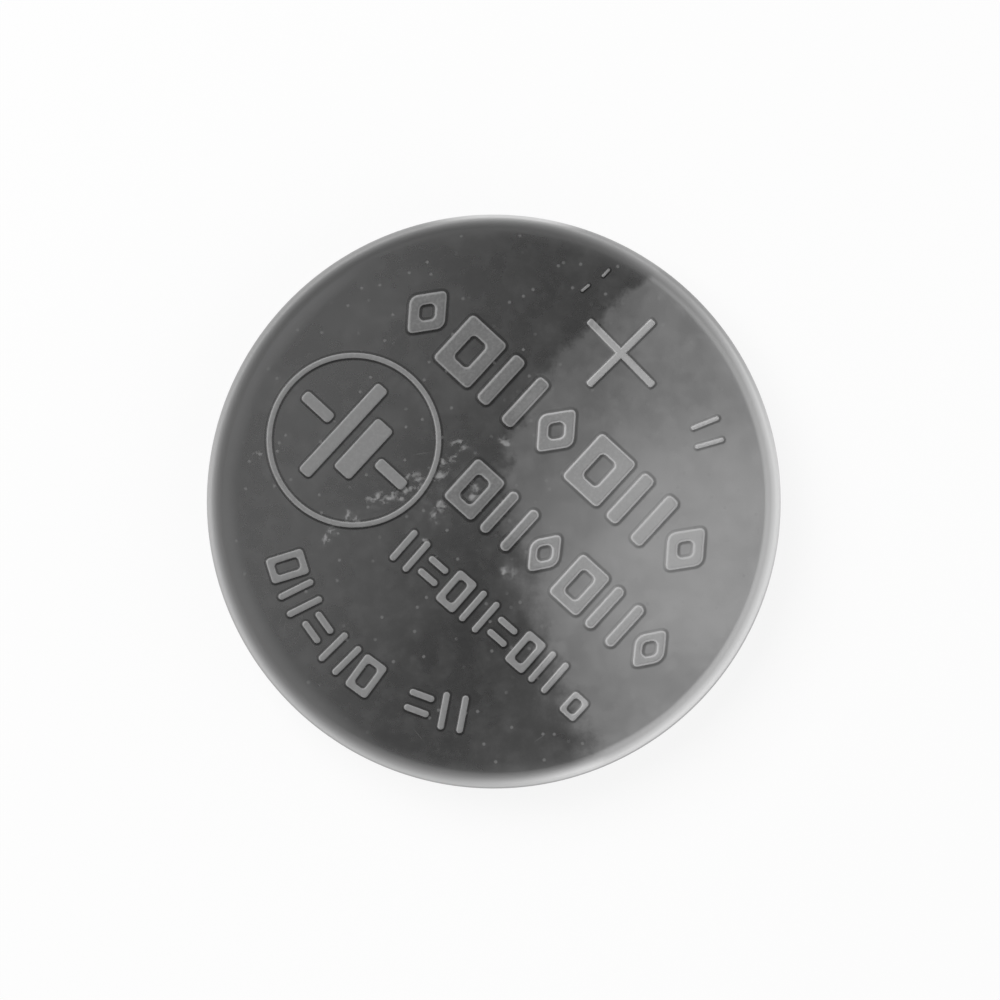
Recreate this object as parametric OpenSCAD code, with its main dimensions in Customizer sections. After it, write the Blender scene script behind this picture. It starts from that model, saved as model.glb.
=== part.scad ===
// Lithium coin cell, lying on its negative face with the positive face up.
// Origin: centre of the negative face. +Z: out of the positive face. Millimetres.
// Every piece but the collector grid is a turned or pressed round section, drawn as a
// half section in the XY plane (X is the radius, Y is the height) and revolved about Z.

/* [Cell] */
// Diameter over the side wall
cell_d = 20; // [16:0.1:24.5]
// Height over the two terminal faces
cell_h = 2.5; // [2:0.05:3.3]

/* [Positive can] */
// Thickness of the can's sheet
can_t = 0.25; // [0.2:0.01:0.3]
// Outside radius of the corner between the positive face and the side wall
can_corner_r = 0.6; // [0.45:0.01:0.75]
// Outside radius of the rim that is curled in over the gasket
crimp_r = 0.85; // [0.7:0.01:1.02]
// Angle that the rim is curled through
crimp_turn = 115; // [95:1:137]

/* [Negative cap] */
// Thickness of the cap's sheet
cap_t = 0.25; // [0.2:0.01:0.3]
// How far the negative face stands out past the curled rim
face_stand = 0.25; // [0.15:0.01:0.35]
// Outside radius of the corner around the negative face
face_corner_r = 0.45; // [0.35:0.01:0.55]
// Width of the flat shoulder between the raised face and the skirt
shoulder_w = 0.55; // [0.45:0.01:0.66]
// Radius of the hollow where the raised face's wall meets the shoulder
shoulder_fillet_r = 0.1; // [0.05:0.01:0.12]
// Outside radius of the bend from the shoulder into the skirt
skirt_bend_r = 0.35; // [0.29:0.01:0.42]
// Open gap inside the folded hem of the skirt
hem_gap = 0.05; // [0.03:0.01:0.07]
// Height of the hem's free edge above the shoulder's upper side
hem_edge_h = 0.02; // [0.01:0.01:0.1]

/* [Gasket] */
// Gasket between the can's wall and the hem
gasket_wall = 0.35; // [0.29:0.01:0.42]
// Gasket between the end of the hem and the can's floor
gasket_floor = 0.3; // [0.24:0.01:0.36]
// Gasket between the curled rim and the cap's shoulder
gasket_seat = 0.25; // [0.2:0.01:0.3]
// Thickness of the gasket's lip inside the skirt
gasket_lip_t = 0.22; // [0.18:0.01:0.27]
// Height of that lip from the can's floor
gasket_lip_h = 0.7; // [0.5:0.01:0.84]
// Gap between the cap's raised wall and the ring of gasket that shows around it
gasket_ring_gap = 0.1; // [0.05:0.01:0.15]
// How far that ring lies back from the lowest line of the curled rim
gasket_ring_inset = 0.13; // [0.05:0.01:0.2]
// Rounding of the ring's edge
gasket_ring_r = 0.1; // [0.05:0.01:0.12]

/* [Electrodes] */
// Thickness of the lithium disc
lithium_t = 0.5; // [0.4:0.01:0.6]
// Gap between the lithium disc and the round corner inside the cap
lithium_gap = 0.15; // [0.1:0.01:0.25]
// Thickness of the separator felt
separator_t = 0.2; // [0.15:0.01:0.24]
// Height of the separator's turned-up rim, from its underside
separator_h = 0.9; // [0.7:0.01:1.1]
// Outside radius of the bend into that rim
separator_bend_r = 0.3; // [0.25:0.01:0.36]
// Gap between the separator's rim and the wall of the cap
separator_gap = 0.05; // [0.03:0.01:0.1]
// Gap between the pressed pellet and the separator's rim
pellet_gap = 0.05; // [0.03:0.01:0.1]
// Rounding of the pellet's edges, which clears the separator's bend
pellet_edge_r = 0.15; // [0.12:0.01:0.2]

/* [Collector grid] */
// Thickness of the grid's sheet
grid_t = 0.1; // [0.08:0.01:0.12]
// Gap between the grid's edge and the outside of the pellet
grid_gap = 0.3; // [0.2:0.01:0.4]
// Plain margin around the openings
grid_margin = 0.3; // [0.2:0.01:0.4]
// Long way from one opening to the next
mesh_long = 2.4; // [2:0.01:3]
// Short way from one opening to the next
mesh_short = 1.3; // [1.05:0.01:1.6]
// Width of the strands between the openings
strand_w = 0.24; // [0.18:0.01:0.3]

/* [Hidden] */
$fn = 96;

cell_r = cell_d / 2;

// Can: its inside, and the centre of the curled rim
can_in_r = cell_r - can_t;
can_floor_z = cell_h - can_t;
crimp_x = cell_r - crimp_r;
crimp_z = face_stand + crimp_r;

// Cap, from the face outwards: raised wall, shoulder, skirt and hem
shoulder_z = face_stand + can_t + gasket_seat;
hem_t = 2 * cap_t + hem_gap;
skirt_out_r = can_in_r - gasket_wall;
skirt_in_r = skirt_out_r - hem_t;
face_wall_r = skirt_in_r - shoulder_w;
face_flat_r = face_wall_r - face_corner_r;
fold_x = skirt_in_r + hem_t / 2;
fold_z = can_floor_z - gasket_floor - hem_t / 2;
hem_edge_z = shoulder_z + cap_t + hem_edge_h;
skirt_bend_x = skirt_in_r + cap_t - skirt_bend_r;
skirt_bend_z = shoulder_z + skirt_bend_r;

// Gasket: the lip inside the skirt, and the ring that shows around the cap
gasket_lip_r = skirt_in_r - gasket_lip_t;
gasket_ring_x = face_wall_r + gasket_ring_gap;
gasket_ring_z = face_stand + gasket_ring_inset;

// The stack of electrodes, from the cap's inside up to the can's floor
lithium_r = face_flat_r - lithium_gap;
separator_z = cap_t + lithium_t;
separator_r = face_wall_r - cap_t - separator_gap;
pellet_r = separator_r - separator_t - pellet_gap;
pellet_z = separator_z + separator_t;
pellet_t = can_floor_z - grid_t - pellet_z;
grid_r = pellet_r - grid_gap;
grid_z = pellet_z + pellet_t;

// Openings of the grid: diamonds in rows, every second row moved on by half a step
open_long = mesh_long - 2 * strand_w;
open_short = mesh_short - strand_w;
open_reach = grid_r - grid_margin;
rows = ceil(open_reach / (mesh_short / 2));
columns = ceil(open_reach / mesh_long);

// Half section of a piece, turned into the round
module revolve() {
    rotate_extrude() children();
}

// Rectangle between two corners
module block(x1, y1, x2, y2) {
    translate([x1, y1]) square([x2 - x1, y2 - y1]);
}

// Quarter of a ring around (x, y): side_x and side_y give the quadrant that it lies in
module quarter_bend(x, y, out_r, in_r, side_x, side_y) {
    intersection() {
        difference() {
            translate([x, y]) circle(out_r);
            translate([x, y]) circle(in_r);
        }
        block(
            min(x, x + side_x * out_r), min(y, y + side_y * out_r),
            max(x, x + side_x * out_r), max(y, y + side_y * out_r)
        );
    }
}

// Disc section from the axis to radius r, with both edges rounded
module rounded_disc(r, z1, z2, edge_r) {
    block(0, z1, r - edge_r, z2);
    block(r - 2 * edge_r, z1 + edge_r, r, z2 - edge_r);
    for (z = [z1 + edge_r, z2 - edge_r])
        translate([r - edge_r, z]) circle(edge_r);
}

// Wedge that the curled rim fills, from the side wall round to its free edge
module crimp_wedge() {
    reach = 2 * crimp_r;
    over = crimp_turn - 90;
    polygon([
        [crimp_x, crimp_z],
        [crimp_x + reach, crimp_z],
        [crimp_x + reach, crimp_z - reach],
        [crimp_x, crimp_z - reach],
        [crimp_x - reach * sin(over), crimp_z - reach * cos(over)],
    ]);
}

// Curled rim: the side wall turned in past the horizontal, so that its edge bites the gasket
module crimp_section() {
    intersection() {
        difference() {
            translate([crimp_x, crimp_z]) circle(crimp_r);
            translate([crimp_x, crimp_z]) circle(crimp_r - can_t);
        }
        crimp_wedge();
    }
}

module can_section() {
    corner_x = cell_r - can_corner_r;
    corner_z = cell_h - can_corner_r;
    block(0, can_floor_z, corner_x, cell_h);
    quarter_bend(corner_x, corner_z, can_corner_r, can_corner_r - can_t, 1, 1);
    block(can_in_r, crimp_z, cell_r, corner_z);
    crimp_section();
}

// Open gap between the two layers of the folded hem
module hem_slit() {
    block(fold_x - hem_gap / 2, hem_edge_z, fold_x + hem_gap / 2, fold_z);
    translate([fold_x, fold_z]) circle(hem_gap / 2);
}

// Skirt of the cap, folded back on its outside into a double wall with a round end
module hem_section() {
    difference() {
        union() {
            block(skirt_in_r, skirt_bend_z, fold_x, fold_z);
            block(fold_x, hem_edge_z, skirt_out_r, fold_z);
            translate([fold_x, fold_z]) circle(hem_t / 2);
        }
        hem_slit();
    }
}

module cap_section() {
    foot_x = face_wall_r + shoulder_fillet_r;
    foot_z = shoulder_z - shoulder_fillet_r;
    block(0, 0, face_flat_r, cap_t);
    quarter_bend(face_flat_r, face_corner_r, face_corner_r, face_corner_r - cap_t, 1, -1);
    block(face_wall_r - cap_t, face_corner_r, face_wall_r, foot_z);
    quarter_bend(foot_x, foot_z, shoulder_fillet_r + cap_t, shoulder_fillet_r, -1, 1);
    block(foot_x, shoulder_z, skirt_bend_x, shoulder_z + cap_t);
    quarter_bend(skirt_bend_x, skirt_bend_z, skirt_bend_r, skirt_bend_r - cap_t, 1, -1);
    hem_section();
}

// Moulded ring, with the can's inside as its outside, before the cap is pressed into it
module gasket_blank() {
    corner_x = cell_r - can_corner_r;
    corner_z = cell_h - can_corner_r;
    // Outer wall, corner and floor
    block(fold_x, crimp_z, can_in_r, corner_z);
    translate([corner_x, corner_z]) circle(can_corner_r - can_t);
    block(gasket_lip_r, fold_z, corner_x, can_floor_z);
    // Lip inside the skirt
    block(gasket_lip_r, can_floor_z - gasket_lip_h, skirt_in_r + cap_t / 2, can_floor_z);
    // Part that the curled rim presses against the hem and the shoulder
    intersection() {
        translate([crimp_x, crimp_z]) circle(crimp_r - can_t);
        block(crimp_x, face_stand, can_in_r, crimp_z);
    }
    block(skirt_in_r, gasket_ring_z, crimp_x, hem_edge_z);
    // Ring that shows between the rim and the cap, with its edge rounded
    block(gasket_ring_x + gasket_ring_r, gasket_ring_z, crimp_x, shoulder_z + cap_t / 2);
    block(gasket_ring_x, gasket_ring_z + gasket_ring_r, crimp_x, shoulder_z + cap_t / 2);
    translate([gasket_ring_x + gasket_ring_r, gasket_ring_z + gasket_ring_r])
        circle(gasket_ring_r);
}

module gasket_section() {
    difference() {
        gasket_blank();
        crimp_section();
        cap_section();
        hem_slit();
    }
}

// Pressed felt dish: its rim stands up around the pellet
module separator_section() {
    flat_r = separator_r - separator_bend_r;
    bend_z = separator_z + separator_bend_r;
    block(0, separator_z, flat_r, separator_z + separator_t);
    quarter_bend(flat_r, bend_z, separator_bend_r, separator_bend_r - separator_t, 1, -1);
    block(separator_r - separator_t, bend_z, separator_r, separator_z + separator_h);
}

module diamond() {
    polygon([
        [-open_long / 2, 0],
        [0, -open_short / 2],
        [open_long / 2, 0],
        [0, open_short / 2],
    ]);
}

// Openings that lie wholly inside the plain margin
module grid_openings() {
    for (row = [-rows : rows]) {
        shift = row % 2 == 0 ? 0 : mesh_long / 2;
        y = row * mesh_short / 2;
        for (column = [-columns : columns]) {
            x = column * mesh_long + shift;
            tip = norm([abs(x) + open_long / 2, y]);
            side = norm([x, abs(y) + open_short / 2]);
            if (max(tip, side) <= open_reach)
                translate([x, y]) diamond();
        }
    }
}

module positive_can() {
    color([0.56, 0.56, 0.57]) revolve() can_section();
}

module negative_cap() {
    color([0.66, 0.66, 0.67]) revolve() cap_section();
}

module sealing_gasket() {
    color([0.86, 0.85, 0.8]) revolve() gasket_section();
}

module lithium_disc() {
    color([0.75, 0.75, 0.78])
        translate([0, 0, cap_t]) cylinder(r = lithium_r, h = lithium_t);
}

module separator() {
    color([0.95, 0.95, 0.93]) revolve() separator_section();
}

module cathode_pellet() {
    color([0.13, 0.13, 0.14])
        revolve() rounded_disc(pellet_r, pellet_z, pellet_z + pellet_t, pellet_edge_r);
}

module collector_grid() {
    color([0.6, 0.6, 0.6])
        translate([0, 0, grid_z])
            linear_extrude(grid_t)
                difference() {
                    circle(grid_r);
                    grid_openings();
                }
}

positive_can();
negative_cap();
sealing_gasket();
lithium_disc();
separator();
cathode_pellet();
collector_grid();
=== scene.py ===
# Lithium coin cell, lying on its negative face with the positive face up.
# Can, cap and gasket are turned about Z from half sections, and marks are pressed into the can.
from math import asin, atan2, cos, hypot, pi, radians, sin

import bmesh
import bpy
from mathutils import Matrix, Vector


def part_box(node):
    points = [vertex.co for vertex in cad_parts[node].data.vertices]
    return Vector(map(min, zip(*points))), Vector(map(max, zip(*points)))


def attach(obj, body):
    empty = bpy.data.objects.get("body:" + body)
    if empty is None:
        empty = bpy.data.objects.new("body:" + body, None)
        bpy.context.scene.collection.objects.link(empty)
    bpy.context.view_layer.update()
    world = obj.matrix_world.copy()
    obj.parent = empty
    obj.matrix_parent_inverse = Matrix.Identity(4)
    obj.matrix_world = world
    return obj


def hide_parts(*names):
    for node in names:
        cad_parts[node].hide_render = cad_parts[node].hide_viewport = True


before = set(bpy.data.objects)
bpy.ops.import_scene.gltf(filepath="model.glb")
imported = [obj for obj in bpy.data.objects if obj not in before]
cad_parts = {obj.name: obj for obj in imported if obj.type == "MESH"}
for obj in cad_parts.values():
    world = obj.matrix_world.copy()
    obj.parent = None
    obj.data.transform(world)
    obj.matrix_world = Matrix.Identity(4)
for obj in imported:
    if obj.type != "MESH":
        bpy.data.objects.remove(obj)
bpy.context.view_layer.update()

MM = 0.001
TURN = 2 * pi
QUARTER = pi / 2
ROUND_STEPS = 256
ARC_STEPS = 12
SAME_POINT_MM = 1e-5

# Sizes of the turned pieces, in millimetres
can_low, can_high = [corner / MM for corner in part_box("positive_can")]
cap_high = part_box("negative_cap")[1] / MM
gasket_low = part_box("sealing_gasket")[0] / MM
CELL_R = can_high.x
TOP_Z = can_high.z
SHEET = 0.25
CAN_CORNER_R = 0.6
CRIMP_R = 0.85
CRIMP_TURN = radians(115)
FACE_CORNER_R = 0.45
SHOULDER_W = 0.55
SHOULDER_Z = 0.75
SHOULDER_FILLET_R = 0.1
SKIRT_BEND_R = 0.35
HEM_GAP = 0.05
HEM_EDGE_H = 0.02
GASKET_LIP_T = 0.22
GASKET_LIP_H = 0.7
GASKET_RING_GAP = 0.1
GASKET_RING_R = 0.1

# Places worked out from those sizes
CAN_IN_R = CELL_R - SHEET
CAN_FLOOR_Z = TOP_Z - SHEET
CORNER_X = CELL_R - CAN_CORNER_R
CORNER_Z = TOP_Z - CAN_CORNER_R
CRIMP_X = CELL_R - CRIMP_R
CRIMP_Z = can_low.z + CRIMP_R
SKIRT_OUT_R = cap_high.x
HEM_T = 2 * SHEET + HEM_GAP
SKIRT_IN_R = SKIRT_OUT_R - HEM_T
FACE_WALL_R = SKIRT_IN_R - SHOULDER_W
FACE_FLAT_R = FACE_WALL_R - FACE_CORNER_R
FOOT_X = FACE_WALL_R + SHOULDER_FILLET_R
FOOT_Z = SHOULDER_Z - SHOULDER_FILLET_R
BEND_X = SKIRT_IN_R + SHEET - SKIRT_BEND_R
BEND_Z = SHOULDER_Z + SKIRT_BEND_R
FOLD_X = SKIRT_IN_R + HEM_T / 2
FOLD_Z = cap_high.z - HEM_T / 2
HEM_EDGE_Z = SHOULDER_Z + SHEET + HEM_EDGE_H

# The camera looks straight down, and these give the cell's place and size in the square picture
PICTURE_PX = 1000
CELL_CENTRE_PX = (493.8, 501.55)
CELL_RADIUS_PX = 286.95
MM_PER_PX = CELL_R / CELL_RADIUS_PX
LENS_MM = 120
SENSOR_MM = 36


class Outline:
    """Half section drawn in the XZ plane by a point that moves in lines and arcs."""

    def __init__(self, x, z):
        self.mesh = bmesh.new()
        self.start = bmesh.ops.create_vert(self.mesh, co=(x, 0, z))["vert"][0]
        self.tip = self.start

    def line(self, x, z):
        grown = bmesh.ops.extrude_vert_indiv(self.mesh, verts=[self.tip])
        self.tip = grown["verts"][0]
        self.tip.co = (x, 0, z)

    def arc(self, x, z, turn):
        """Turn about the point (x, z), anticlockwise where turn is positive."""
        swept = bmesh.ops.spin(
            self.mesh, geom=[self.tip], cent=(x, 0, z), axis=(0, 1, 0), angle=-turn, steps=ARC_STEPS
        )
        self.tip = [item for item in swept["geom_last"] if isinstance(item, bmesh.types.BMVert)][0]

    def close(self):
        self.mesh.edges.new((self.tip, self.start))

    def revolve(self):
        bmesh.ops.spin(
            self.mesh, geom=self.mesh.verts[:] + self.mesh.edges[:], cent=(0, 0, 0),
            axis=(0, 0, 1), angle=TURN, steps=ROUND_STEPS, use_merge=True,
        )
        bmesh.ops.remove_doubles(self.mesh, verts=self.mesh.verts[:], dist=SAME_POINT_MM)
        for face in self.mesh.faces:
            face.smooth = True
        return self.mesh


def polar(x, z, radius, turn):
    return x + radius * cos(turn), z + radius * sin(turn)


def piece(name, mesh, material, node):
    """Make the finished piece, in metres, that stands for a CAD node."""
    bmesh.ops.recalc_face_normals(mesh, faces=mesh.faces[:])
    bmesh.ops.scale(mesh, vec=(MM, MM, MM), verts=mesh.verts[:])
    data = bpy.data.meshes.new(name)
    mesh.to_mesh(data)
    mesh.free()
    data.materials.append(material)
    made = bpy.data.objects.new(name, data)
    bpy.context.scene.collection.objects.link(made)
    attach(made, "root")
    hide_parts(node)


# Turned pieces

def can_shell():
    """Wall, curled rim and inside of the can, open where the marked face comes."""
    outline = Outline(CORNER_X, TOP_Z)
    outline.arc(CORNER_X, CORNER_Z, -QUARTER)
    outline.line(CELL_R, CRIMP_Z)
    outline.arc(CRIMP_X, CRIMP_Z, -CRIMP_TURN)
    outline.line(*polar(CRIMP_X, CRIMP_Z, CRIMP_R - SHEET, -CRIMP_TURN))
    outline.arc(CRIMP_X, CRIMP_Z, CRIMP_TURN)
    outline.line(CAN_IN_R, CORNER_Z)
    outline.arc(CORNER_X, CORNER_Z, QUARTER)
    outline.line(0, CAN_FLOOR_Z)
    return outline.revolve()


def cap_shell():
    """Pressed cap: raised face, shoulder, skirt and folded hem."""
    outline = Outline(0, 0)
    outline.line(FACE_FLAT_R, 0)
    outline.arc(FACE_FLAT_R, FACE_CORNER_R, QUARTER)
    outline.line(FACE_WALL_R, FOOT_Z)
    outline.arc(FOOT_X, FOOT_Z, -QUARTER)
    outline.line(BEND_X, SHOULDER_Z)
    outline.arc(BEND_X, BEND_Z, QUARTER)
    outline.line(FOLD_X - HEM_GAP / 2, FOLD_Z)
    outline.arc(FOLD_X, FOLD_Z, -pi)
    outline.line(FOLD_X + HEM_GAP / 2, HEM_EDGE_Z)
    outline.line(SKIRT_OUT_R, HEM_EDGE_Z)
    outline.line(SKIRT_OUT_R, FOLD_Z)
    outline.arc(FOLD_X, FOLD_Z, pi)
    outline.line(SKIRT_IN_R, BEND_Z)
    outline.arc(BEND_X, BEND_Z, -QUARTER)
    outline.line(FOOT_X, SHOULDER_Z + SHEET)
    outline.arc(FOOT_X, FOOT_Z, QUARTER)
    outline.line(FACE_WALL_R - SHEET, FACE_CORNER_R)
    outline.arc(FACE_FLAT_R, FACE_CORNER_R, -QUARTER)
    outline.line(0, SHEET)
    return outline.revolve()


def gasket_ring():
    """Moulded gasket, pressed between the can and the cap's hem."""
    ring_x = FACE_WALL_R + GASKET_RING_GAP
    ring_z = gasket_low.z
    lip_r = SKIRT_IN_R - GASKET_LIP_T
    tip_out = polar(CRIMP_X, CRIMP_Z, CRIMP_R, -CRIMP_TURN)
    tip_in = polar(CRIMP_X, CRIMP_Z, CRIMP_R - SHEET, -CRIMP_TURN)
    share = (ring_z - tip_out[1]) / (tip_in[1] - tip_out[1])
    bend_start = asin((HEM_EDGE_Z - BEND_Z) / SKIRT_BEND_R)
    outline = Outline(ring_x, ring_z + GASKET_RING_R)
    outline.arc(ring_x + GASKET_RING_R, ring_z + GASKET_RING_R, QUARTER)
    outline.line(tip_out[0] + share * (tip_in[0] - tip_out[0]), ring_z)
    outline.line(*tip_in)
    outline.arc(CRIMP_X, CRIMP_Z, CRIMP_TURN)
    outline.line(CAN_IN_R, CORNER_Z)
    outline.arc(CORNER_X, CORNER_Z, QUARTER)
    outline.line(lip_r, CAN_FLOOR_Z)
    outline.line(lip_r, CAN_FLOOR_Z - GASKET_LIP_H)
    outline.line(SKIRT_IN_R, CAN_FLOOR_Z - GASKET_LIP_H)
    outline.line(SKIRT_IN_R, FOLD_Z)
    outline.arc(FOLD_X, FOLD_Z, -pi)
    outline.line(SKIRT_OUT_R, HEM_EDGE_Z)
    outline.line(*polar(BEND_X, BEND_Z, SKIRT_BEND_R, bend_start))
    outline.arc(BEND_X, BEND_Z, -QUARTER - bend_start)
    outline.line(ring_x, SHOULDER_Z)
    outline.close()
    return outline.revolve()


# Marks: each is a flat shape, laid on the face and then pressed into it in sloped steps

CORNER_STEPS = 4
STROKE_STEPS = 18
HOLE_CORNER = 0.04
BRINK_DEPTH = 0.004
# The largest corner radius of a box, as a share of its shorter side
ROUNDEST = 0.49
# How wide a diamond's own stroke is, how far two level strokes reach and how round a cross's
# tips are, each as a share of the size that is given for the mark
DIAMOND_STROKE = 0.75
LEVELS_REACH = 0.6
CROSS_TIP = 0.75
NEARLY_MM = 0.01

# Straight rows go from the middle of the first mark to that of the last. Curved rows have a
# radius and the marks' angles in degrees. A size is a mark's width, height and stroke.
READING_TURN = radians(-42.6)
FIRST_ROW = ((-2.31, 6.57), (6.64, -1.65))
FIRST_SIZE = (1.66, 2.09, 0.52)
SECOND_ROW = ((-0.67, 0.42), (5.4, -5.1))
SECOND_SIZE = (1.34, 1.83, 0.4)
THIRD_ROW = ((-2.9, -1.71), (1.9, -5.92))
THIRD_SIZE = (0.84, 1.36, 0.25)
LONG_CURVE = (7.5, (197.4, 206.5, 215.6, 224.7, 233.8))
SHORT_CURVE = (7.45, (249.7, 259.1))
CURVE_SIZE = (0.92, 1.35, 0.25)
SMALL_SQUARE_PLACE = (2.79, -7.1, READING_TURN)
SMALL_SQUARE_SIZE = (0.7, 0.9, 0.18)

# Single marks: place and turn, then size. The bars' turns are in degrees.
CROSS_PLACE = (4.41, 5.15, radians(44.6))
CROSS_SIZE = (3.2, 0.27)
SHORT_BARS = ((7.33, 2.72, -68), (7.48, 2.02, -74))
SHORT_BAR_SIZE = (0.17, 1.05)
FAINT_BARS = ((3.18, 7.41, -50), (3.89, 7.93, -44))
FAINT_BAR_SIZE = (0.12, 0.4)

# The cell's circuit sign: its ring's radius and stroke, then how far along the sign each
# plate or lead lies, its width and its height
SIGN_PLACE = (-4.85, 2.13)
SIGN_RING = (3.04, 0.2)
SIGN_PLATES = ((-0.5, 0.5, 4.1), (0.45, 0.75, 2.3), (-1.7, 1.3, 0.42), (1.75, 1.3, 0.42))


def box_outline(width, height, corner):
    mesh = bmesh.new()
    bmesh.ops.create_grid(mesh, x_segments=1, y_segments=1, size=0.5)
    bmesh.ops.scale(mesh, vec=(width, height, 1), verts=mesh.verts[:])
    return rounded(mesh, mesh.verts[:], min(corner, ROUNDEST * min(width, height)))


def diamond_outline(width, height, corner):
    """Upright diamond with its sharper corners rounded to the corner radius."""
    mesh = bmesh.new()
    bmesh.ops.create_circle(mesh, segments=4, radius=0.5, cap_ends=True)
    bmesh.ops.scale(mesh, vec=(width, height, 1), verts=mesh.verts[:])
    return rounded(mesh, mesh.verts[:], corner * height / width)


def stroke_outline(width, height):
    """Upright stroke with round ends."""
    mesh = bmesh.new()
    bmesh.ops.create_circle(mesh, segments=STROKE_STEPS, radius=width / 2, cap_ends=True)
    for vert in mesh.verts:
        vert.co.y += (height - width) / 2 if vert.co.y > 0 else (width - height) / 2
    return mesh


def disc(radius):
    mesh = bmesh.new()
    bmesh.ops.create_circle(mesh, segments=ROUND_STEPS // 2, radius=radius, cap_ends=True)
    return mesh


def rounded(mesh, verts, offset):
    bmesh.ops.bevel(
        mesh, geom=verts, offset=offset, affect="VERTICES", segments=CORNER_STEPS, profile=0.5,
        material=-1,
    )
    return mesh


def merge(mesh, other):
    """Take another mesh in, and free it."""
    carrier = bpy.data.meshes.new("carrier")
    other.to_mesh(carrier)
    other.free()
    mesh.from_mesh(carrier)
    bpy.data.meshes.remove(carrier)


def between(outer, inner):
    """Strip of faces between two outlines of as many points."""
    merge(outer, inner)
    bmesh.ops.delete(outer, geom=outer.faces[:], context="FACES_ONLY")
    bmesh.ops.bridge_loops(outer, edges=outer.edges[:])
    return outer


def place(mesh, x, y, turn=0.0):
    """Turn the mark, and lay it on the positive face."""
    bmesh.ops.rotate(mesh, cent=(0, 0, 0), matrix=Matrix.Rotation(turn, 3, "Z"), verts=mesh.verts[:])
    bmesh.ops.translate(mesh, vec=(x, y, TOP_Z), verts=mesh.verts[:])
    return mesh


class Punch:
    """Tool for marks of one size. Its first step is the soft brink that surrounds a stroke,
    so that each shape is drawn larger than its stroke. A step is how far inwards and down."""

    def __init__(self, brink, corner, *steps):
        self.brink = brink
        self.corner = corner + brink
        self.steps = ((brink, BRINK_DEPTH), *steps)

    def block(self, width, height):
        return box_outline(width + 2 * self.brink, height + 2 * self.brink, self.corner)

    def bar(self, width, height):
        return stroke_outline(width + 2 * self.brink, height + 2 * self.brink)

    def square(self, width, height, stroke):
        hole = 2 * (stroke + self.brink)
        return between(self.block(width, height), box_outline(width - hole, height - hole, HOLE_CORNER))

    def diamond(self, width, height, stroke):
        side = hypot(width, height)
        across = 2 * side / height
        upright = 2 * side / width
        outer = diamond_outline(width + self.brink * across, height + self.brink * upright, self.corner)
        hole = DIAMOND_STROKE * stroke + self.brink
        inner = diamond_outline(width - hole * across, height - hole * upright, HOLE_CORNER)
        return between(outer, inner)

    def pair(self, make, width, height, stroke):
        """Two upright strokes, side by side."""
        marks = bmesh.new()
        for side in (-1, 1):
            one = make(stroke, height)
            bmesh.ops.translate(one, vec=(side * (width - stroke) / 2, 0, 0), verts=one.verts[:])
            merge(marks, one)
        return marks

    def blocks(self, width, height, stroke):
        return self.pair(self.block, width, height, stroke)

    def bars(self, width, height, stroke):
        return self.pair(self.bar, width, height, stroke)

    def levels(self, width, height, stroke):
        """Two level strokes, one above the other."""
        marks = self.pair(self.bar, LEVELS_REACH * height, width, stroke)
        quarter = Matrix.Rotation(QUARTER, 3, "Z")
        bmesh.ops.rotate(marks, cent=(0, 0, 0), matrix=quarter, verts=marks.verts[:])
        return marks

    def ring(self, radius, stroke):
        return between(disc(radius + self.brink), disc(radius - stroke - self.brink))

    def cross(self, size, stroke):
        """Grid of three by three faces without its corners, drawn out to the cross's size."""
        mesh = bmesh.new()
        bmesh.ops.create_grid(mesh, x_segments=3, y_segments=3, size=1.5)
        near = stroke / 2 + self.brink
        far = size / 2 + self.brink
        for vert in mesh.verts:
            for axis in (0, 1):
                reach = far if abs(vert.co[axis]) > 1 else near
                vert.co[axis] = reach if vert.co[axis] > 0 else -reach
        corners = [face for face in mesh.faces if min(map(abs, face.calc_center_median().xy)) > near]
        bmesh.ops.delete(mesh, geom=corners, context="FACES")
        tips = [vert for vert in mesh.verts if max(map(abs, vert.co.xy)) > far - NEARLY_MM]
        return rounded(mesh, tips, CROSS_TIP * near)

    def straight_row(self, start, end, kinds, *size):
        """Marks spaced evenly along a line on the face."""
        turn = atan2(end[1] - start[1], end[0] - start[0])
        marks = []
        for index, kind in enumerate(kinds):
            share = index / (len(kinds) - 1)
            x = start[0] + share * (end[0] - start[0])
            y = start[1] + share * (end[1] - start[1])
            marks.append(place(kind(*size), x, y, turn))
        return marks

    def curved_row(self, radius, angles, kinds, *size):
        """Marks that stand along a circle round the face's centre, with their heads inwards."""
        marks = []
        for angle, kind in zip(angles, kinds):
            turn = radians(angle)
            marks.append(place(kind(*size), radius * cos(turn), radius * sin(turn), turn + QUARTER))
        return marks

    def press(self, can, marks):
        """Sink the marks into the face, and join them to the can's mesh."""
        for mark in marks:
            floor = mark.faces[:]
            for face in floor:
                if face.normal.z < 0:
                    face.normal_flip()
            for inwards, down in self.steps:
                walls = bmesh.ops.inset_region(
                    mark, faces=floor, thickness=inwards, depth=-down, use_boundary=True,
                    use_even_offset=True,
                )["faces"]
                for wall in walls:
                    wall.smooth = True
            merge(can, mark)


BOLD = Punch(0.12, 0.17, (0.08, 0.028), (0.03, 0.004))
FINE = Punch(0.09, 0.13, (0.045, 0.018), (0.015, 0.003))
FAINT = Punch(0.06, 0.1, (0.03, 0.01))


def cell_sign():
    """Circuit sign for one cell, in a ring: a long plate, a short plate and their leads."""
    marks = [place(FINE.ring(*SIGN_RING), *SIGN_PLACE)]
    for along, width, height in SIGN_PLATES:
        plate = FINE.block(width, height)
        bmesh.ops.translate(plate, vec=(along, 0, 0), verts=plate.verts[:])
        marks.append(place(plate, *SIGN_PLACE, READING_TURN))
    return marks


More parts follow.
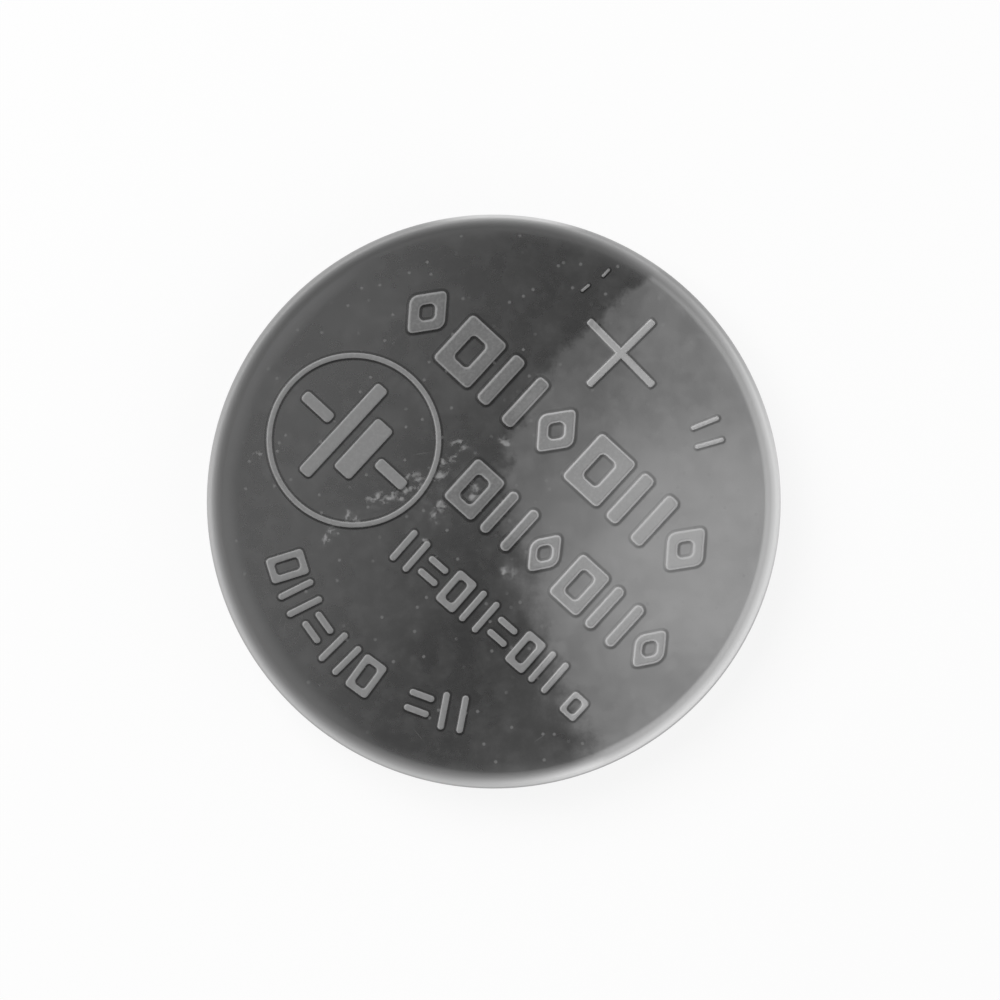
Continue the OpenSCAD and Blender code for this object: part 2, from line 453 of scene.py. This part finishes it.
def marked_can():
    """The can's shell with its marks, and the face filled in round them."""
    can = can_shell()
    diamond, square, blocks, narrow = BOLD.diamond, BOLD.square, BOLD.blocks, BOLD.bars
    kinds = (diamond, square, blocks, diamond, square, blocks, diamond)
    BOLD.press(can, BOLD.straight_row(*FIRST_ROW, kinds, *FIRST_SIZE))
    kinds = (square, narrow, diamond, square, narrow, diamond)
    BOLD.press(can, BOLD.straight_row(*SECOND_ROW, kinds, *SECOND_SIZE))
    levels, square, bars = FINE.levels, FINE.square, FINE.bars
    kinds = (bars, levels, square, bars, levels, square, bars)
    FINE.press(can, FINE.straight_row(*THIRD_ROW, kinds, *THIRD_SIZE))
    kinds = (square, bars, levels, bars, square)
    FINE.press(can, FINE.curved_row(*LONG_CURVE, kinds, *CURVE_SIZE))
    FINE.press(can, FINE.curved_row(*SHORT_CURVE, (levels, bars), *CURVE_SIZE))
    FINE.press(can, cell_sign())
    FINE.press(can, [place(FINE.cross(*CROSS_SIZE), *CROSS_PLACE)])
    FINE.press(can, [place(FINE.square(*SMALL_SQUARE_SIZE), *SMALL_SQUARE_PLACE)])
    for x, y, turn in SHORT_BARS:
        FINE.press(can, [place(FINE.bar(*SHORT_BAR_SIZE), x, y, radians(turn))])
    for x, y, turn in FAINT_BARS:
        FAINT.press(can, [place(FAINT.bar(*FAINT_BAR_SIZE), x, y, radians(turn))])
    rims = [edge for edge in can.edges if edge.is_boundary]
    filled = bmesh.ops.triangle_fill(can, edges=rims, use_beauty=True, normal=(0, 0, 1))
    for item in filled["geom"]:
        if isinstance(item, bmesh.types.BMFace):
            item.smooth = False
    return can


# Finishes

# Places of the colour mixer's sockets: share, first and second colour, and the mixed one
MIX_INPUTS = (0, 6, 7)
MIX_RESULT = 2


def grey(value):
    return (value, value, value, 1)


class Nodes:
    """Node tree under construction, with a method for each kind of node that it uses."""

    def __init__(self, tree):
        self.tree = tree

    def node(self, kind, **inputs):
        made = self.tree.nodes.new(kind)
        for name, value in inputs.items():
            self.feed(made.inputs[name.replace("_", " ")], value)
        return made

    def feed(self, socket, value):
        if isinstance(value, bpy.types.NodeSocket):
            self.tree.links.new(value, socket)
        else:
            socket.default_value = value

    def stretched(self, vector, scale):
        return self.node("ShaderNodeMapping", Vector=vector, Scale=scale).outputs["Vector"]

    def math(self, operation, *values):
        made = self.tree.nodes.new("ShaderNodeMath")
        made.operation = operation
        for socket, value in zip(made.inputs, values):
            self.feed(socket, value)
        return made.outputs[0]

    def times(self, first, *others):
        for other in others:
            first = self.math("MULTIPLY", first, other)
        return first

    def most(self, first, *others):
        for other in others:
            first = self.math("MAXIMUM", first, other)
        return first

    def length(self, vector):
        made = self.tree.nodes.new("ShaderNodeVectorMath")
        made.operation = "LENGTH"
        self.feed(made.inputs[0], vector)
        return made.outputs["Value"]

    def step(self, value, low, high, to_low=0.0, to_high=1.0):
        """Smooth change from to_low to to_high as the value goes from low to high."""
        made = self.tree.nodes.new("ShaderNodeMapRange")
        made.interpolation_type = "SMOOTHSTEP"
        for name, given in (
            ("Value", value), ("From Min", low), ("From Max", high),
            ("To Min", to_low), ("To Max", to_high),
        ):
            self.feed(made.inputs[name], given)
        return made.outputs["Result"]


class Finish(Nodes):
    """Material of one piece, with its patterns in millimetres on Object coordinates."""

    def __init__(self, name):
        self.material = bpy.data.materials.new(name)
        self.material.use_nodes = True
        super().__init__(self.material.node_tree)
        self.shader = self.tree.nodes["Principled BSDF"]
        origin = self.tree.nodes.new("ShaderNodeTexCoord")
        self.mm = self.stretched(origin.outputs["Object"], (1 / MM, 1 / MM, 1 / MM))
        split = self.node("ShaderNodeSeparateXYZ", Vector=self.mm)
        self.x, self.y, self.z = split.outputs["X"], split.outputs["Y"], split.outputs["Z"]
        self.flat = self.node("ShaderNodeCombineXYZ", X=self.x, Y=self.y).outputs[0]
        self.radius = self.length(self.flat)

    def spokes(self, count, detail, roughness):
        """Streaks that run outwards on a face and up a wall, as from drawing the sheet."""
        outwards = self.tree.nodes.new("ShaderNodeVectorMath")
        outwards.operation = "NORMALIZE"
        self.feed(outwards.inputs[0], self.flat)
        return self.noise(count, detail, roughness, vector=outwards.outputs["Vector"])

    def rings(self, along, scale, detail, roughness):
        """Lines that run round the cell, with a change along its radius or its height."""
        vector = self.node("ShaderNodeCombineXYZ", X=along).outputs[0]
        return self.noise(scale, detail, roughness, vector=vector)

    def noise(self, scale, detail=3.0, roughness=0.5, distortion=0.0, vector=None):
        made = self.node(
            "ShaderNodeTexNoise", Vector=vector or self.mm, Scale=scale, Detail=detail,
            Roughness=roughness, Distortion=distortion,
        )
        return made.outputs["Fac"]

    def spots(self, scale, size_mm):
        """Round specks, seen from above, one in each cell of the pattern."""
        made = self.node("ShaderNodeTexVoronoi", Vector=self.flat, Scale=scale)
        made.voronoi_dimensions = "2D"
        size = size_mm * scale
        return self.step(made.outputs["Distance"], size * 0.5, size, 1.0, 0.0)

    def zone(self, x, y, length, width, turn=0.0, soft=1.0):
        """1 in the middle of an ellipse that lies round (x, y), fading to 0 at its edge."""
        made = self.tree.nodes.new("ShaderNodeMapping")
        made.vector_type = "TEXTURE"
        self.feed(made.inputs["Vector"], self.flat)
        self.feed(made.inputs["Location"], (x, y, 0))
        self.feed(made.inputs["Rotation"], (0, 0, radians(turn)))
        self.feed(made.inputs["Scale"], (length / 2, width / 2, 1))
        return self.step(self.length(made.outputs["Vector"]), 1.0 - soft, 1.0, 1.0, 0.0)

    def mix(self, share, first, second):
        made = self.tree.nodes.new("ShaderNodeMix")
        made.data_type = "RGBA"
        for index, value in zip(MIX_INPUTS, (share, first, second)):
            self.feed(made.inputs[index], value)
        return made.outputs[MIX_RESULT]

    def bump(self, height, distance_mm, normal=None):
        made = self.node("ShaderNodeBump", Height=height, Distance=distance_mm * MM)
        if normal:
            self.feed(made.inputs["Normal"], normal)
        return made.outputs["Normal"]

    def surface(self, **inputs):
        for name, value in inputs.items():
            self.feed(self.shader.inputs[name.replace("_", " ")], value)
        return self.material


# Where the positive face is scratched: place of the middle, length, width and direction in
# degrees
SCRATCHES = (
    (-7.25, -4.4, 1.3, 0.06, 82), (-7.4, -4.1, 0.7, 0.05, 70), (-7.9, -2.05, 1.0, 0.08, 8),
    (-8.2, 2.9, 0.8, 0.06, 75), (-8.3, 4.1, 0.6, 0.06, 60), (-2.6, -8.1, 0.9, 0.05, -50),
    (1.6, -8.2, 0.7, 0.06, 35), (3.1, -4.6, 0.5, 0.05, 20), (-2.48, 1.67, 1.1, 0.12, 8),
)
# Where it was rubbed softly, in its middle and on its left side, given in the same way
SCUFFS = (
    (-1.85, 1.1, 1.9, 1.0, 52), (-1.5, 1.5, 1.1, 0.7, 10), (-2.85, 0.65, 1.7, 1.3, 20),
    (-3.9, 0.1, 2.2, 0.9, 12), (-3.3, 0.3, 1.2, 0.9, -30), (-0.85, 0.35, 1.7, 1.2, 40),
    (-4.9, -0.65, 0.9, 1.5, 15), (-5.7, -1.15, 1.6, 0.7, 55), (-1.95, -0.3, 1.1, 1.7, -10),
    (-2.4, -1.4, 0.6, 0.6, 0), (0.4, 2.1, 1.0, 0.6, -30), (0.5, -2.45, 1.1, 0.8, -20),
    (-1.2, 1.95, 1.2, 0.7, 0), (-8.9, 3.5, 2.8, 0.9, 70), (-8.2, 1.6, 0.8, 0.6, 0),
)

# Bands of tone at the rim: how far from the axis each one starts and is full
RIM_BAND = (9.0, 9.5)
LEFT_RIM_BAND = (7.8, 9.4)
EDGE_BAND = (9.44, 9.62)
OUTER_BAND = (9.72, 9.84)
SHADE_BACK_BAND = (9.78, 9.9)
SHADE_FRONT_BAND = (9.9, 9.97)
GLINT_BAND = (9.8, 9.9)
# How far down in a mark its brink starts and ends, and its frosting and its floor start
BRINK_START = (0.0, 0.0022)
BRINK_END = (BRINK_DEPTH, 0.009)
FROST_START = (0.005, 0.012)
FLOOR_START = (0.024, 0.032)


class CanSkin(Finish):
    """The can's steel: clean on the left, hazed on the right, with painted reflection on the clean part
    and painted highlight and shade at the rim and in the marks.
    """

    def __init__(self):
        super().__init__("can_steel")
        self.depth = self.math("SUBTRACT", TOP_Z, self.z)
        self.on_face = self.step(self.radius, CORNER_X - 0.12, CORNER_X - 0.02, 1.0, 0.0)
        self.smudge = self.noise(0.4, 4, 0.55)
        self.mottle = self.noise(1.8, 3, 0.55)
        self.frost = self.noise(9.0, 3, 0.6)
        self.haze = self.haze_cover()
        self.thick = self.haze_thickness()
        self.rim = self.step(self.radius, *RIM_BAND)
        left = self.step(self.x, -6.5, 1.0, 1.0, 0.0)
        self.left_rim = self.times(self.step(self.radius, *LEFT_RIM_BAND), left)
        self.marred = self.wear()
        brink_end = self.step(self.depth, *BRINK_END, 1.0, 0.0)
        self.brink = self.times(self.step(self.depth, *BRINK_START), brink_end, self.on_face)
        self.frosted = self.times(self.step(self.depth, *FROST_START), self.on_face)
        self.wall = self.step(self.z, CORNER_Z - 0.15, CORNER_Z + 0.15, 1.0, 0.0)
        self.drawn = self.spokes(130.0, 3, 0.6)
        self.lines = self.rings(self.z, 9.0, 4, 0.7)

    def haze_cover(self):
        """The haze's edge bows to the right above and below the middle, crisp above and soft
        below."""
        from_middle = self.math("SUBTRACT", self.y, 0.5)
        above = self.math("MAXIMUM", from_middle, 0.0)
        below = self.math("MINIMUM", from_middle, 0.0)
        bow = self.math("ADD", self.times(above, above, 0.097), self.times(below, below, 0.031))
        ragged = self.times(self.math("SUBTRACT", self.noise(1.3, 7, 0.7), 0.5), 2.6)
        past_edge = self.math("ADD", self.math("SUBTRACT", self.x, bow), ragged)
        softness = self.step(self.y, -3.0, 2.0, 1.3, 0.5)
        return self.step(self.math("DIVIDE", past_edge, softness), -0.4, 1.3)

    def haze_thickness(self):
        """The haze thins out to the left, and away from its middle line."""
        rightwards = self.math("SUBTRACT", self.x, self.times(self.y, 0.26))
        sideways = self.math("ABSOLUTE", self.math("ADD", self.times(self.x, 0.26), self.y))
        return self.times(
            self.haze, self.step(rightwards, -1.0, 7.2, 0.34, 1.0),
            self.step(sideways, 1.5, 6.0, 1.0, 0.7),
        )

    def wear(self):
        """Scuffs, scratches and specks."""
        rubbed = self.most(*[self.zone(*scuff, 0.9) for scuff in SCUFFS])
        smear = self.noise(3.6, 4, 0.56, 0.4)
        rubbed = self.times(self.step(rubbed, 0.0, 0.8), self.step(smear, 0.33, 0.68))
        faint = self.times(self.zone(-2.6, 0.4, 5.4, 3.4, 10), self.step(smear, 0.4, 0.66))
        scratched = self.most(*[self.zone(*scratch, 0.8) for scratch in SCRATCHES])
        specks = self.times(self.spots(1.1, 0.08), self.step(self.noise(0.9), 0.4, 0.54))
        marred = self.most(
            rubbed, self.times(faint, 0.5), self.times(scratched, 0.5), self.times(specks, 0.7),
        )
        return self.times(marred, self.on_face)

    def film_and_painted_reflection(self):
        """Smudged film on the clean part, with painted reflection: lighter towards the left rim and
        darker in zones below and above the middle.
        """
        leftwards = self.math("SUBTRACT", self.times(self.y, 0.3), self.times(self.x, 0.95))
        # Painted reflection: the film is painted lighter towards the left rim.
        film_and_painted_reflection = self.mix(self.step(leftwards, -1.0, 8.0), grey(0.46), grey(0.92))
        film_and_painted_reflection = self.mix(self.step(self.smudge, 0.3, 0.7, 0.0, 0.3), film_and_painted_reflection, grey(0.66))
        film_and_painted_reflection = self.mix(self.times(self.zone(-1.5, 0.6, 9, 5, -20), 0.3), film_and_painted_reflection, grey(0.75))
        # Painted reflection: darker zones below and above the middle.
        film_and_painted_reflection = self.mix(self.times(self.zone(-0.6, -5.4, 12, 8, 10), 0.6), film_and_painted_reflection, grey(0.36))
        return self.mix(self.times(self.zone(1.0, 7.8, 11, 6, -10), 0.2), film_and_painted_reflection, grey(0.36))

    def face(self):
        """Tone of the flat face under its film, the film's painted reflection and its haze."""
        tone = self.mix(self.haze, self.film_and_painted_reflection(), self.mix(self.thick, grey(0.6), grey(1.0)))
        tone = self.mix(self.step(self.mottle, 0.4, 0.75, 0.0, 0.16), tone, grey(0.8))
        return self.mix(self.step(self.noise(5.0, 4, 0.65), 0.42, 0.7, 0.0, 0.1), tone, grey(0.9))

    def rimmed(self, tone):
        """Rim with painted light: a painted highlight, lightest on the window's side, a painted shade
        line at the back and front and a painted glint at the top.
        """
        # Painted highlight: the band next to the rim is painted lighter.
        tone = self.mix(self.times(self.rim, 0.6), tone, self.mix(self.haze, grey(0.85), grey(1.0)))
        # Painted highlight: the edge and the outer edge are painted lighter on the window's side.
        rightwards = self.math("SUBTRACT", self.times(self.x, 0.94), self.times(self.y, 0.34))
        window_side = self.step(rightwards, 3.0, 9.0)
        edge = self.mix(window_side, grey(0.55), grey(0.72))
        tone = self.mix(self.step(self.radius, *EDGE_BAND), tone, edge)
        outer = self.times(window_side, self.step(self.radius, *OUTER_BAND))
        tone = self.mix(outer, tone, grey(0.78))
        # Painted shade: a dark line at the outer edge, at the back and at the front.
        back = self.step(self.y, 0.0, 7.0, 0.0, 0.5)
        shade_line_back = self.times(back, self.step(self.radius, *SHADE_BACK_BAND))
        front = self.step(self.y, -8.0, 2.0, 0.6, 0.0)
        shade_line_front = self.times(front, self.step(self.radius, *SHADE_FRONT_BAND))
        tone = self.mix(self.most(shade_line_back, shade_line_front), tone, grey(0.25))
        # Painted glint: a lighter patch on the outer edge at the top.
        painted_glint = self.times(self.zone(0.7, 9.9, 7.5, 1.6, 0, 0.7), self.step(self.radius, *GLINT_BAND))
        return self.mix(painted_glint, tone, grey(0.75))

    def pressed(self, tone):
        """In the marks: painted shade at the brink, then frosted, and a painted highlight on their
        walls.
        """
        # Painted shade: the brink round each mark is painted dark.
        dark = self.times(self.brink, self.step(self.haze, 0.0, 1.0, 0.5, 0.25))
        tone = self.mix(dark, tone, grey(0.15))
        # Painted highlight: the walls are painted lighter than the floors.
        walls = self.mix(self.haze, grey(0.74), grey(1.0))
        floors = self.mix(self.thick, grey(0.54), grey(0.9))
        sunk = self.mix(self.step(self.depth, *FLOOR_START), walls, floors)
        sunk = self.mix(self.step(self.frost, 0.4, 0.7, 0.0, 0.25), sunk, grey(0.95))
        return self.mix(self.frosted, tone, sunk)

    def walled(self, tone):
        """The wall and the crimp: drawn upwards, lined by the tools and burnished low down."""
        burnished = self.step(self.z, 0.3, 0.85, 1.0, 0.0)
        side = self.mix(self.step(self.drawn, 0.3, 0.7), grey(0.38), grey(0.5))
        side = self.mix(self.step(self.lines, 0.5, 0.7, 0.0, 0.3), side, grey(0.65))
        side = self.mix(self.times(burnished, 0.4), side, grey(0.58))
        return self.mix(self.wall, tone, side)

    def roughness(self):
        rough = self.step(self.smudge, 0.3, 0.7, 0.24, 0.3)
        rough = self.math("ADD", rough, self.times(self.thick, 0.26))
        rough = self.math("ADD", rough, self.step(self.mottle, 0.4, 0.7, 0.0, 0.04))
        rough = self.times(rough, self.step(self.brink, 0.0, 1.0, 1.0, 0.85))
        return self.most(
            rough, self.times(self.rim, self.step(self.thick, 0.0, 1.0, 0.38, 0.64)),
            self.times(self.left_rim, 0.38), self.times(self.marred, 0.6),
            self.times(self.frosted, self.step(self.thick, 0.2, 1.0, 0.62, 0.88)),
            self.times(self.wall, self.step(self.drawn, 0.3, 0.7, 0.24, 0.34)),
        )

    def bumps(self):
        normal = self.bump(self.noise(1.6, 3, 0.5), 0.005)
        tooled = self.times(self.math("ADD", self.drawn, self.lines), self.wall)
        normal = self.bump(tooled, 0.002, normal)
        grit = self.math("ADD", self.times(self.frost, self.frosted), self.marred)
        return self.bump(grit, 0.0015, normal)


def can_steel():
    """Nickel plated steel of the can."""
    skin = CanSkin()
    tone = skin.rimmed(skin.face())
    tone = skin.mix(skin.times(skin.marred, 0.9), tone, grey(0.9))
    tone = skin.walled(skin.pressed(tone))
    return skin.surface(
        Base_Color=tone, Metallic=1.0, Roughness=skin.roughness(), Normal=skin.bumps()
    )


def cap_steel():
    """Nickel plated steel with a matt rolled face and fine rubbed rings."""
    skin = Finish("cap_steel")
    grain = skin.noise(7.0, 4, 0.6)
    rings = skin.rings(skin.radius, 5.0, 3, 0.6)
    rolled = skin.noise(1.0, 4, 0.65, vector=skin.stretched(skin.mm, (0.7, 9.0, 1.0)))
    face = skin.step(skin.radius, FACE_FLAT_R - 0.3, FACE_FLAT_R + 0.2, 1.0, 0.0)
    tone = skin.mix(skin.noise(0.5, 4, 0.6), grey(0.46), grey(0.6))
    tone = skin.mix(skin.times(skin.step(rolled, 0.4, 0.7), face, 0.4), tone, grey(0.36))
    tone = skin.mix(skin.times(skin.step(rings, 0.55, 0.75), 0.35), tone, grey(0.72))
    rough = skin.math("ADD", skin.step(grain, 0.3, 0.7, 0.24, 0.34), skin.times(face, 0.08))
    normal = skin.bump(skin.times(rolled, face), 0.004, skin.bump(skin.noise(1.5, 3, 0.5), 0.008))
    normal = skin.bump(grain, 0.002, normal)
    return skin.surface(Base_Color=tone, Metallic=1.0, Roughness=rough, Normal=normal)


def gasket_plastic():
    skin = Finish("gasket_plastic")
    tone = skin.mix(skin.noise(2.0, 4, 0.6), (0.74, 0.73, 0.67, 1), (0.84, 0.83, 0.78, 1))
    normal = skin.bump(skin.noise(14.0, 3, 0.5), 0.003)
    return skin.surface(Base_Color=tone, Roughness=0.42, Normal=normal)


def lithium_metal():
    skin = Finish("lithium_metal")
    streaks = skin.noise(2.0, 4, 0.6, vector=skin.stretched(skin.mm, (0.4, 6.0, 1.0)))
    tone = skin.mix(streaks, (0.55, 0.55, 0.58, 1), (0.76, 0.76, 0.78, 1))
    rough = skin.step(skin.noise(1.2, 3, 0.5), 0.3, 0.7, 0.38, 0.55)
    return skin.surface(Base_Color=tone, Metallic=1.0, Roughness=rough, Normal=skin.bump(streaks, 0.01))


def separator_felt():
    skin = Finish("separator_felt")
    fibres = skin.noise(6.0, 5, 0.7, distortion=3.0)
    tone = skin.mix(fibres, (0.78, 0.78, 0.75, 1), (0.93, 0.93, 0.91, 1))
    return skin.surface(Base_Color=tone, Roughness=0.9, Normal=skin.bump(fibres, 0.03))


def cathode_powder():
    skin = Finish("cathode_powder")
    powder = skin.noise(22.0, 5, 0.7)
    tone = skin.mix(skin.step(powder, 0.6, 0.8), (0.02, 0.02, 0.021, 1), (0.09, 0.09, 0.095, 1))
    return skin.surface(Base_Color=tone, Roughness=0.8, Normal=skin.bump(powder, 0.02))


def grid_steel():
    skin = Finish("grid_steel")
    grain = skin.noise(12.0, 4, 0.6)
    tone = skin.mix(grain, grey(0.38), grey(0.58))
    return skin.surface(Base_Color=tone, Metallic=1.0, Roughness=0.4, Normal=skin.bump(grain, 0.004))


# Studio: pale floor, soft light and a camera straight above

FLOOR_SIZE_M = 1.2
# How much of the floor's glow the camera sees, and how much is mirrored
GLOW_SEEN = 0.86
GLOW_MIRRORED = 0.3
KEY_PLACE_MM = (-160, 150, 260)
KEY_SIZE_MM = 260
KEY_WATTS = 1.0
NEAREST_M = 0.001
FARTHEST_M = 10


def shadow_floor():
    """Pale floor. The camera and gloss see it white, with the cell's shadow kept on it."""
    bpy.ops.mesh.primitive_plane_add(size=FLOOR_SIZE_M)
    floor = bpy.context.object
    floor.name = "floor"
    material = bpy.data.materials.new("floor")
    material.use_nodes = True
    material.node_tree.nodes.clear()
    nodes = Nodes(material.node_tree)
    cloth = nodes.node("ShaderNodeBsdfDiffuse", Color=grey(0.9)).outputs[0]
    glow = nodes.node("ShaderNodeEmission", Color=grey(1.0)).outputs[0]
    ray = nodes.node("ShaderNodeLightPath").outputs
    seen = nodes.most(
        nodes.times(ray["Is Camera Ray"], GLOW_SEEN), nodes.times(ray["Is Glossy Ray"], GLOW_MIRRORED),
        nodes.times(ray["Is Transmission Ray"], GLOW_SEEN),
    )
    blend = nodes.node("ShaderNodeMixShader")
    for socket, value in zip(blend.inputs, (seen, cloth, glow)):
        nodes.feed(socket, value)
    nodes.node("ShaderNodeOutputMaterial", Surface=blend.outputs[0])
    floor.data.materials.append(material)


def room_light():
    """Light walls with a dim corner, a dark hood round the camera and a broad window on the right."""
    world = bpy.data.worlds.new("room")
    bpy.context.scene.world = world
    world.use_nodes = True
    room = Nodes(world.node_tree)
    direction = room.node("ShaderNodeTexCoord").outputs["Generated"]
    split = room.node("ShaderNodeSeparateXYZ", Vector=direction).outputs
    walls = room.step(split["Z"], 0.0, 0.6, 0.7, 0.43)
    hood = room.step(split["Z"], 0.62, 0.97, 0.0, 0.34)
    backwards = room.math("SUBTRACT", room.times(split["Y"], 0.95), room.times(split["X"], 0.3))
    corner = room.step(backwards, 0.0, 0.9, 0.0, 0.22)
    sideways = room.math("SUBTRACT", room.times(split["X"], 0.93), room.times(split["Y"], 0.37))
    lower = room.step(split["Z"], 0.2, 0.7, 1.0, 0.7)
    window = room.times(room.step(sideways, 0.1, 0.8, 0.0, 0.7), lower)
    shade = room.math("ADD", hood, corner)
    background = world.node_tree.nodes["Background"]
    room.feed(background.inputs["Color"], grey(1.0))
    room.feed(
        background.inputs["Strength"], room.math("ADD", room.math("SUBTRACT", walls, shade), window)
    )


def softbox(name, place_mm, size_mm, watts):
    lamp = bpy.data.lights.new(name, "AREA")
    lamp.size = size_mm * MM
    lamp.energy = watts
    made = bpy.data.objects.new(name, lamp)
    made.location = Vector(place_mm) * MM
    made.rotation_euler = (-made.location).to_track_quat("-Z", "Y").to_euler()
    made.visible_glossy = False
    bpy.context.scene.collection.objects.link(made)


def camera():
    view = bpy.data.cameras.new("camera")
    view.lens = LENS_MM
    view.sensor_width = SENSOR_MM
    view.clip_start = NEAREST_M
    view.clip_end = FARTHEST_M
    made = bpy.data.objects.new("camera", view)
    width_mm = PICTURE_PX * MM_PER_PX
    distance_mm = width_mm * LENS_MM / SENSOR_MM
    x = (PICTURE_PX / 2 - CELL_CENTRE_PX[0]) * MM_PER_PX
    y = (CELL_CENTRE_PX[1] - PICTURE_PX / 2) * MM_PER_PX
    made.location = Vector((x, y, CORNER_Z + distance_mm)) * MM
    bpy.context.scene.collection.objects.link(made)
    bpy.context.scene.camera = made


camera()
piece("can", marked_can(), can_steel(), "positive_can")
piece("cap", cap_shell(), cap_steel(), "negative_cap")
piece("gasket", gasket_ring(), gasket_plastic(), "sealing_gasket")
for node, material in (
    ("lithium_disc", lithium_metal()),
    ("separator", separator_felt()),
    ("cathode_pellet", cathode_powder()),
    ("collector_grid", grid_steel()),
):
    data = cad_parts[node].data
    data.materials.clear()
    data.materials.append(material)
shadow_floor()
room_light()
softbox("key", KEY_PLACE_MM, KEY_SIZE_MM, KEY_WATTS)
bpy.context.scene.view_settings.view_transform = "Standard"
